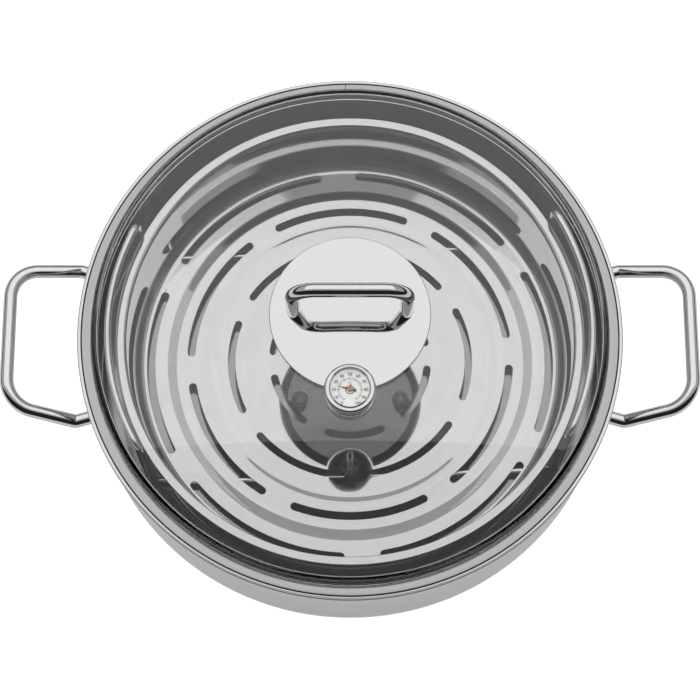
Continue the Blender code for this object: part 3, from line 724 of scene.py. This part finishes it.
def make_tray():
    """Deep tray with a rolled lip, a floor in three levels and four rings of curved slots."""
    under = TRAY_FLOOR - TRAY_WALL
    lip_in = TRAY_R - 5.0 * MM
    shoulder = TRAY_TOP - 4.0 * MM
    hem = 1.8 * MM
    lip_edge_r, shoulder_edge_r = 0.7 * MM, 0.5 * MM
    corner_r = 5.5 * MM
    corner = (125.5 * MM - corner_r, TRAY_FLOOR - WHOLE_STEP + corner_r)
    floor = slope(83.2 * MM, 86.0 * MM, -SMALL_STEP, TRAY_FLOOR)
    floor += slope(102.7 * MM, 108.2 * MM, SMALL_STEP - WHOLE_STEP, TRAY_FLOOR - SMALL_STEP)
    outline = [(0.0, under)] + [(r, z - TRAY_WALL) for r, z in floor]
    outline += arc(corner, corner_r + TRAY_WALL, -90.0, 0.0, 12)
    outline += [(lip_in, shoulder - 1.0 * MM), (lip_in + TRAY_WALL, shoulder)]
    outline += [(lip_in + TRAY_WALL, TRAY_TOP - TRAY_WALL), (TRAY_R - TRAY_WALL, TRAY_TOP - TRAY_WALL)]
    outline += [(TRAY_R - TRAY_WALL, TRAY_TOP - hem), (TRAY_R, TRAY_TOP - hem)]
    outline += arc((TRAY_R - lip_edge_r, TRAY_TOP - lip_edge_r), lip_edge_r, 0.0, 90.0, 6)
    outline += arc((lip_in + shoulder_edge_r, TRAY_TOP - shoulder_edge_r), shoulder_edge_r, 90.0, 180.0, 5)
    outline += [(lip_in, shoulder + TRAY_WALL), (lip_in - 0.25 * MM, shoulder + 0.2 * MM)]
    outline += [(lip_in - 0.75 * MM, shoulder - 0.2 * MM), (lip_in - 0.9 * MM, shoulder - 1.0 * MM)]
    outline += arc(corner, corner_r, 0.0, -90.0, 12)
    outline += list(reversed(floor))
    outline += [(0.0, TRAY_FLOOR)]
    reach = 5.0 * MM
    step = 2.0 * math.pi / SLOTS_AROUND
    cutters = []
    for radius, width, sweep, first in SLOT_RINGS:
        slot = slot_prism(radius * MM, width * MM, sweep, TRAY_FLOOR - reach, TRAY_FLOOR + reach)
        cutters.append(repeated(slot, SLOTS_AROUND, math.radians(first), step, TRAY_STEEL))
    mesh = cut_from(turned(outline), joined(cutters))
    mesh.transform(Matrix.Rotation(TRAY_TURN, 4, "Z"))
    make_piece("slotted_tray", mesh, TRAY_STEEL, TRAY, ("insert_tray",), sharp=50.0)


def make_rack():
    """One closed loop of wire: two curved grips, four legs, and two runs under the tray."""
    grip_r, grip_z = 137.0 * MM, 82.5 * MM
    half = math.radians(29.0)
    foot_z = 9.9 * MM
    run_x, run_y = 100.0 * MM, 69.6 * MM
    run_z = TRAY_FLOOR - WHOLE_STEP - TRAY_WALL - TOUCH - WIRE_R
    bend = 6.0 * MM
    corners = []
    bends = []
    steps = 20
    for side in (1.0, -1.0):
        for k in range(steps + 1):
            angle = half * (2.0 * k / steps - 1.0)
            corners.append((side * grip_r * math.cos(angle), side * grip_r * math.sin(angle), grip_z))
            bends.append(bend if k in (0, steps) else 0.0)
        foot = (side * grip_r * math.cos(half), side * grip_r * math.sin(half), foot_z)
        corners += [foot, (side * run_x, side * run_y, run_z)]
        corners += [(-side * run_x, side * run_y, run_z), (-foot[0], foot[1], foot_z)]
        bends += [bend, 2.0 * bend, 2.0 * bend, bend]
    mesh = swept(rounded_path(corners, bends, 10), WIRE_R, 20, closed=True)
    mesh.transform(Matrix.Rotation(RACK_TURN, 4, "Z"))
    make_piece("bent_rack", mesh, WIRE_STEEL, RACK, ("rack_wire",))


# ---- lid -------------------------------------------------------------------------------------
def dome(depth):
    """Outline from foot to crown at a depth inside the outer surface: a bend, then a shallow arc."""
    centre_r = GLASS_R - GLASS_BEND_R
    lean = 2.0 * math.atan((GLASS_TOP - GLASS_BEND_R - GLASS_BEND_Z) / centre_r)
    crown_r = centre_r / math.sin(lean) + GLASS_BEND_R - depth
    top = GLASS_TOP - depth
    points = arc((centre_r, GLASS_BEND_Z), GLASS_BEND_R - depth, 0.0, 90.0 - math.degrees(lean), 14)
    steps = 36
    for k in range(1, steps + 1):
        angle = lean * (1.0 - k / steps)
        points.append((crown_r * math.sin(angle), top - crown_r * (1.0 - math.cos(angle))))
    return points


def screw_drills():
    return [drill(x, 0.0, SCREW_HOLE_R, LID_CUT_LOW, LID_CUT_HIGH) for x in (SCREW_X, -SCREW_X)]


def make_lid_glass():
    """Domed glass with a flange, two screw holes and the thermometer's hole."""
    flange_r = GLASS_HIGH[0]
    flange_low = GLASS_LOW[2]
    flange_top = flange_low + 2.3 * MM
    edge_r = 1.0 * MM
    outline = arc((flange_r - edge_r, flange_low + edge_r), edge_r, -90.0, 0.0, 5)
    outline += arc((flange_r - edge_r, flange_top - edge_r), edge_r, 0.0, 90.0, 5)
    outline += [(GLASS_R, flange_top)] + dome(0.0) + list(reversed(dome(GLASS_WALL)))
    outline += [(GLASS_R - GLASS_WALL, flange_low)]
    holes = screw_drills() + [drill(0.0, GAUGE_Y, 4.6 * MM, LID_CUT_LOW, LID_CUT_HIGH)]
    make_piece("glass_dome", cut_from(turned(outline), joined(holes)), LID_GLASS, LID, ("lid_glass",))


def make_lid_band():
    """Folded steel ring around the glass's flange, with the soft seal inside it."""
    wall = 0.6 * MM
    in_r = 147.5 * MM
    inside = BAND_R - wall
    ring = [(BAND_R, BAND_BOTTOM), (BAND_R, BAND_TOP), (in_r, BAND_TOP), (in_r, BAND_TOP - wall)]
    ring += [(inside, BAND_TOP - wall), (inside, BAND_BOTTOM + wall)]
    ring += [(in_r, BAND_BOTTOM + wall), (in_r, BAND_BOTTOM)]
    make_piece("edge_band", turned(eased(ring, 0.5 * MM)), BAND_STEEL, LID, ("lid_band",))
    seal_low = BAND_BOTTOM + wall + TOUCH
    seal_high = GLASS_LOW[2] - TOUCH
    seal_r = inside - 2.0 * TOUCH
    seal = [(seal_r, seal_low), (seal_r, seal_high), (in_r, seal_high), (in_r, seal_low)]
    make_piece("edge_seal", turned(eased(seal, 0.2 * MM)), SILICONE, LID, ("lid_edge_seal",))


def disc_top(radius):
    """Height of the disc's domed top at a radius."""
    return DISC_EDGE_Z + DISC_RISE * (1.0 - (radius / DISC_R) ** 2)


def make_lid_disc():
    """Polished domed disc, round the thermometer at its front, and the gasket under its edge."""
    thick = 1.2 * MM
    edge_r = 0.5 * thick
    flat_r = DISC_R - edge_r
    steps = 24
    radii = [flat_r * k / steps for k in range(steps + 1)]
    outline = [(r, disc_top(r) - thick) for r in radii]
    outline += arc((flat_r, disc_top(flat_r) - edge_r), edge_r, -80.0, 80.0, 8)
    outline += [(r, disc_top(r)) for r in reversed(radii)]
    notch_r = GAUGE_R + 0.6 * MM
    holes = screw_drills() + [drill(0.0, GAUGE_Y, notch_r, LID_CUT_LOW, LID_CUT_HIGH, 128)]
    disc = make_piece("centre_disc", cut_from(turned(outline), joined(holes)), DISC_STEEL, LID, ("lid_disc",))
    # the disc's downward faces take the darker steel as painted shade
    faced(disc, UNDERSIDE_SHADE_STEEL, lambda middle, normal: normal.z < -0.5)
    low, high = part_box("lid_disc_gasket")
    in_r = high[0] - 4.0 * MM
    ring = turned(eased([(high[0], low[2]), (high[0], high[2]), (in_r, high[2]), (in_r, low[2])], 0.2 * MM))
    notch = drill(0.0, GAUGE_Y, notch_r + 1.0 * MM, LID_CUT_LOW, LID_CUT_HIGH, 128)
    make_piece("disc_gasket", cut_from(ring, notch), SILICONE, LID, ("lid_disc_gasket",))


def make_lid_handle():
    """Bent rod with two upright legs, each with an eased foot and a blind hole for its screw."""
    x = KNOB_HIGH[0] - ROD_R
    bar_z = KNOB_HIGH[2] - ROD_R
    foot_z = KNOB_LOW[2]
    ease_z = foot_z + 1.2 * MM
    bend = 13.0 * MM
    corners = [(x, 0.0, foot_z), (x, 0.0, ease_z), (x, 0.0, bar_z)]
    corners += [(-x, 0.0, bar_z), (-x, 0.0, ease_z), (-x, 0.0, foot_z)]
    path = rounded_path(corners, [0.0, 0.0, bend, bend, 0.0, 0.0], 20)
    scales = [(1.0, 1.0)] * len(path)
    scales[0] = scales[-1] = (0.9, 0.9)
    rod = swept(path, ROD_R, 40, first_side=(0.0, 1.0, 0.0), scales=scales)
    hole_top = 118.2 * MM
    holes = [drill(side * x, 0.0, SCREW_HOLE_R, LID_CUT_LOW, hole_top) for side in (1.0, -1.0)]
    make_piece("bent_lid_handle", cut_from(rod, joined(holes)), ROD_STEEL, LID, ("lid_handle",))


def make_lid_screws():
    """Pan-head screws with a cross recess, and the soft washers above their heads."""
    dome_r = 5.2 * MM
    head_h = 2.6 * MM
    shank_r = 1.8 * MM
    slot_long, slot_wide, slot_deep = 4.4 * MM, 1.0 * MM, 2.4 * MM
    for number in (1, 2):
        low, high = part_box("lid_handle_screw_%d" % number)
        x = 0.5 * (low[0] + high[0])
        head_r = 0.5 * (high[0] - low[0])
        under = low[2]
        outline = [(0.0, under)] + arc((0.0, under + dome_r), dome_r, -90.0, -45.0, 8)[1:]
        outline += [(head_r, under + 0.7 * head_h), (head_r, under + head_h), (shank_r, under + head_h)]
        outline += [(shank_r, high[2]), (0.0, high[2])]
        mesh = turned(outline, 48)
        for size in ((slot_long, slot_wide, slot_deep), (slot_wide, slot_long, slot_deep)):
            mesh = cut_from(mesh, cuboid(size, (0.0, 0.0, under)))
        make_piece("cross_screw_%d" % number, moved(mesh, x), FASTENER_STEEL, LID,
                   ("lid_handle_screw_%d" % number,))
        low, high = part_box("screw_washer_%d" % number)
        out_r = 0.5 * (high[0] - low[0])
        ring = [(out_r, low[2]), (out_r, high[2]), (SCREW_HOLE_R, high[2]), (SCREW_HOLE_R, low[2])]
        make_piece("soft_washer_%d" % number, moved(turned(eased(ring, 0.3 * MM), 48), x), SOFT_GREY, LID,
                   ("screw_washer_%d" % number,))


# ---- thermometer -----------------------------------------------------------------------------
SCALE_ZERO = math.radians(240.0)
SCALE_STEP = math.radians(-3.0)      # for one degree Celsius, clockwise
READING = 25.0                       # degrees Celsius at rest
DEGREES_PER_FIGURE = 10


def at_gauge(mesh):
    return moved(mesh, 0.0, GAUGE_Y)


def make_case():
    """Cup with a threaded neck, a groove round its wall and a bezel turned in over the lens."""
    neck_z = CASE_LOW[2]
    neck_r, root_r, bore_r = 4.2 * MM, 3.9 * MM, 1.0 * MM
    outline = [(bore_r, neck_z), (3.8 * MM, neck_z), (neck_r, neck_z + 0.4 * MM)]
    pitch = 1.0 * MM
    for k in range(11):
        z = neck_z + 0.8 * MM + pitch * k
        outline += [(neck_r, z), (root_r, z + 0.5 * pitch)]
    edge_r, bezel_edge_r = 1.0 * MM, 1.6 * MM
    outline += [(neck_r, CUP_BOTTOM), (GAUGE_R - edge_r, CUP_BOTTOM)]
    outline += arc((GAUGE_R - edge_r, CUP_BOTTOM + edge_r), edge_r, -90.0, 0.0, 6)
    groove_z = CUP_BOTTOM + 3.9 * MM
    for radius, rise in ((GAUGE_R, -0.3), (GAUGE_R - 0.25 * MM, 0.0), (GAUGE_R, 0.3)):
        outline.append((radius, groove_z + rise * MM))
    outline += arc((GAUGE_R - bezel_edge_r, GAUGE_TOP - bezel_edge_r), bezel_edge_r, 0.0, 90.0, 12)
    window_r, seat_r = 10.6 * MM, 11.6 * MM
    lens_seat_z = LENS_HIGH[2] + TOUCH
    dial_seat_z = DIAL_LOW[2] - TOUCH
    floor_z = CUP_BOTTOM + 1.0 * MM
    outline += [(11.6 * MM, GAUGE_TOP - 0.15 * MM), (11.3 * MM, GAUGE_TOP - 0.35 * MM)]
    outline += [(10.65 * MM, LENS_HIGH[2] + 0.7 * MM), (window_r, lens_seat_z), (seat_r, lens_seat_z)]
    outline += [(seat_r, dial_seat_z), (window_r, dial_seat_z), (window_r, floor_z), (bore_r, floor_z)]
    make_piece("gauge_case", at_gauge(turned(outline, 128)), GAUGE_STEEL, LID, ("thermometer_case",))


def make_lens():
    """Flat glass with eased edges."""
    rim = LENS_HIGH[0]
    low, top = LENS_LOW[2], LENS_HIGH[2]
    low_edge_r, bevel = 0.1 * MM, 0.15 * MM
    lens = [(0.0, low)] + arc((rim - low_edge_r, low + low_edge_r), low_edge_r, -90.0, 0.0, 3)
    lens += [(rim, top - bevel), (rim - bevel, top), (0.0, top)]
    make_piece("gauge_lens", at_gauge(turned(lens, 96)), GAUGE_GLASS, LID, ("thermometer_lens",))


def numeral(text, size, x, y, base):
    """Flat, slightly raised lettering centred on a point, as a mesh."""
    raised = 0.02 * MM
    curve = bpy.data.curves.new("numeral", "FONT")
    curve.body = text
    curve.size = size
    curve.align_x = "CENTER"
    curve.align_y = "CENTER"
    curve.extrude = raised
    curve.offset = 0.05 * MM
    return moved(baked(bare("numeral", curve)), x, y, base + raised)


def scale_mark(inner, outer, width, low, high):
    """One printed line of the scale, lying along +X."""
    return cuboid((outer - inner, width, high - low), (0.5 * (inner + outer), 0.0, 0.5 * (low + high)))


def make_dial():
    """White plate with a printed scale of 0 to 100 and a ring round the needle's hub."""
    dial_r = 0.5 * (DIAL_HIGH[0] - DIAL_LOW[0])
    low, top = DIAL_LOW[2], DIAL_HIGH[2]
    hole_r = 1.0 * MM
    ring = [(dial_r, low), (dial_r, top), (hole_r, top), (hole_r, low)]
    plate = turned(eased(ring, 0.1 * MM), 96)
    make_piece("dial_plate", at_gauge(plate), DIAL_WHITE, LID, ("thermometer_dial",))
    base = top + 0.01 * MM
    print_top = base + 0.05 * MM
    long_mark = scale_mark(5.6 * MM, 7.0 * MM, 0.32 * MM, base, print_top)
    short_mark = scale_mark(5.7 * MM, 6.8 * MM, 0.20 * MM, base, print_top)
    figure_step = SCALE_STEP * DEGREES_PER_FIGURE
    parts = [repeated(long_mark, 11, SCALE_ZERO, figure_step, DIAL_INK)]
    parts += [repeated(short_mark, 51, SCALE_ZERO, SCALE_STEP * 2.0, DIAL_INK)]
    reach = 8.7 * MM
    for k in range(11):
        angle = SCALE_ZERO + figure_step * k
        figure = str(DEGREES_PER_FIGURE * k)
        parts.append(numeral(figure, 2.5 * MM, reach * math.cos(angle), reach * math.sin(angle), base))
    parts.append(numeral("°C", 2.2 * MM, 0.0, 3.4 * MM, base))
    make_piece("dial_print", at_gauge(joined(parts)), DIAL_INK, LID)
    hub = [(2.6 * MM, base), (2.6 * MM, print_top), (1.9 * MM, print_top), (1.9 * MM, base)]
    make_piece("hub_ring", at_gauge(turned(hub, 48)), COPPER, LID)


def make_pointer():
    """Flat needle with a tail on a stepped hub and staff, turned to its reading."""
    low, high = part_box("thermometer_pointer")
    blade_low = high[2] - 0.6 * MM
    blade_thick = 0.3 * MM
    half = [(8.0 * MM, 0.0), (2.0 * MM, 0.5 * MM), (-1.8 * MM, 0.6 * MM), (-3.5 * MM, 0.9 * MM)]
    outline = half + [(x, -y) for x, y in reversed(half[1:])]

    def build(work):
        lower = [work.verts.new((x, y, blade_low)) for x, y in outline]
        upper = [work.verts.new((x, y, blade_low + blade_thick)) for x, y in outline]
        work.faces.new(lower)
        work.faces.new(upper)
        for k in range(len(outline)):
            n = (k + 1) % len(outline)
            work.faces.new((lower[k], lower[n], upper[n], upper[k]))
    staff_r, hub_r, ease = 0.5 * MM, 1.5 * MM, 0.2 * MM
    hub = [(0.0, low[2]), (staff_r, low[2]), (staff_r, blade_low - ease), (hub_r, blade_low - ease)]
    hub += [(hub_r, high[2] - ease), (1.2 * MM, high[2]), (0.0, high[2])]
    mesh = joined([mesh_from(build), turned(hub, 40)])
    mesh.transform(Matrix.Rotation(SCALE_ZERO + SCALE_STEP * READING, 4, "Z"))
    needle = make_piece("needle", at_gauge(mesh), COPPER, POINTER, ("thermometer_pointer",))
    blade_middle = blade_low + 0.5 * blade_thick
    slack = 0.16 * MM
    faced(needle, NEEDLE_BROWN, lambda middle, normal: abs(middle.z - blade_middle) < slack)


def make_stem():
    """Pointed sensing tube, and the finishes of the small pieces that keep their own shape."""
    stem_r = 0.5 * (STEM_HIGH[0] - STEM_LOW[0])
    bore_r = stem_r - 0.4 * MM
    tip, top = STEM_LOW[2], STEM_HIGH[2]
    bore_end = tip + 6.0 * MM
    outline = [(0.0, tip), (0.3 * MM, tip), (0.7 * MM, tip + 0.7 * MM), (stem_r, tip + 5.0 * MM)]
    outline += [(stem_r, top), (bore_r, top), (bore_r, bore_end), (0.0, bore_end)]
    # the stem under the lid takes the darker steel as painted shade
    make_piece("sensing_stem", at_gauge(turned(outline, 48)), UNDERSIDE_SHADE_STEEL, LID, ("thermometer_stem",))
    for node, material in (("thermometer_nut", FASTENER_STEEL), ("thermometer_gasket", SILICONE),
                           ("thermometer_washer", SILICONE), ("bimetal_coil", COPPER)):
        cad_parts[node].data.materials[0] = material


# ---- studio ----------------------------------------------------------------------------------
FLOOR_GLOW = 0.34               # light table under the pot
FLOOR_LIFT = 0.60               # extra whiteness of the floor as seen directly
BACKDROP = 0.97                 # brightness of the background as seen directly
SOFTBOX_RADIANCE = 0.68
SOFTBOX_SIDE = 2.8
SOFTBOX_PLACE = (0.0, 1.30, 1.75)
TENT = 0.46                     # brightness of the tent overhead and behind
DARK_SIDE = 0.02                # brightness of the rest of the surroundings
FRONT_EDGE = 64.0               # degrees above the front horizon where the tent ends
CAMERA_DISTANCE = 9.159 * TRAY_R
CAMERA_HEIGHT = math.radians(72.21)
CAMERA_TILT = math.radians(90.0 - 72.61)
FOCAL_LENGTH = 110.2


def make_floor():
    """Round white table, lit from within."""
    radius, thick = 2.5, 4.0 * MM
    mesh = turned([(0.0, -thick), (radius, -thick), (radius, -TOUCH), (0.0, -TOUCH)], 96)
    material, tree, shader = new_material("pale_floor")
    where = tree.nodes.new("ShaderNodeTexCoord")
    cloud = noise_node(tree, where.outputs["Object"], 3.0)
    colour = mixed_colour(tree, cloud.outputs["Fac"], (0.80, 0.80, 0.80), (0.82, 0.82, 0.82))
    tree.links.new(colour, shader.inputs["Base Color"])
    shader.inputs["Roughness"].default_value = 0.9
    shader.inputs["Specular IOR Level"].default_value = 0.1
    shader.inputs["Emission Color"].default_value = (1.0, 1.0, 1.0, 1.0)
    path = tree.nodes.new("ShaderNodeLightPath")
    seen = math_node(tree, "MULTIPLY_ADD", path.outputs["Is Camera Ray"], FLOOR_LIFT, FLOOR_GLOW)
    tree.links.new(seen, shader.inputs["Emission Strength"])
    mesh.materials.append(material)
    floor = bpy.data.objects.new("studio_floor", mesh)
    bpy.context.scene.collection.objects.link(floor)


def make_softbox():
    """Square softbox over the back of the table, facing straight down."""
    lamp = bpy.data.lights.new("overhead_softbox", "AREA")
    lamp.shape = "RECTANGLE"
    lamp.size = SOFTBOX_SIDE
    lamp.size_y = SOFTBOX_SIDE
    lamp.energy = SOFTBOX_RADIANCE * math.pi * SOFTBOX_SIDE ** 2
    holder = bpy.data.objects.new("overhead_softbox", lamp)
    holder.location = SOFTBOX_PLACE
    down = Vector((0.0, 0.0, -1.0))
    holder.rotation_euler = down.to_track_quat("-Z", "Y").to_euler()
    bpy.context.scene.collection.objects.link(holder)


def stepped(tree, value, low, high):
    """Smooth step of a value between two levels."""
    node = tree.nodes.new("ShaderNodeMapRange")
    node.interpolation_type = "SMOOTHSTEP"
    node.inputs["From Min"].default_value = low
    node.inputs["From Max"].default_value = high
    tree.links.new(value, node.inputs["Value"])
    return node.outputs["Result"]


def make_world():
    """Bright tent overhead and behind, dark low down and behind the camera; the backdrop shows white."""
    world = bpy.data.worlds.new("studio")
    bpy.context.scene.world = world
    world.use_nodes = True
    tree = world.node_tree
    background = tree.nodes["Background"]
    y, z = axes_of(tree, "Generated")[1:]
    lean = math.radians(FRONT_EDGE)
    back = math_node(tree, "MULTIPLY_ADD", y, math.sin(lean), math_node(tree, "MULTIPLY", z, math.cos(lean)))
    level = math_node(tree, "MULTIPLY", stepped(tree, back, 0.0, 0.06), stepped(tree, z, 0.10, 0.32))
    level = math_node(tree, "MULTIPLY_ADD", level, TENT - DARK_SIDE, DARK_SIDE)
    path = tree.nodes.new("ShaderNodeLightPath")
    seen = path.outputs["Is Camera Ray"]
    unseen = math_node(tree, "MULTIPLY", level, math_node(tree, "SUBTRACT", 1.0, seen))
    tree.links.new(math_node(tree, "MULTIPLY_ADD", seen, BACKDROP, unseen), background.inputs["Strength"])
    background.inputs["Color"].default_value = (1.0, 1.0, 1.0, 1.0)


def make_camera():
    """High camera in front, looking down into the pot."""
    camera = bpy.data.cameras.new("camera")
    camera.lens = FOCAL_LENGTH
    camera.sensor_width = 36.0
    holder = bpy.data.objects.new("camera", camera)
    holder.location = (0.0, -CAMERA_DISTANCE * math.cos(CAMERA_HEIGHT),
                       TRAY_TOP + CAMERA_DISTANCE * math.sin(CAMERA_HEIGHT))
    holder.rotation_euler = (CAMERA_TILT, 0.0, 0.0)
    bpy.context.scene.collection.objects.link(holder)
    bpy.context.scene.camera = holder
    bpy.context.scene.view_settings.view_transform = "Standard"


make_camera()
make_world()
make_floor()
make_softbox()
make_pot_shell()
make_base()
make_side_handles()
make_tray()
make_rack()
make_lid_glass()
make_lid_band()
make_lid_disc()
make_lid_handle()
make_lid_screws()
make_case()
make_lens()
make_dial()
make_pointer()
make_stem()
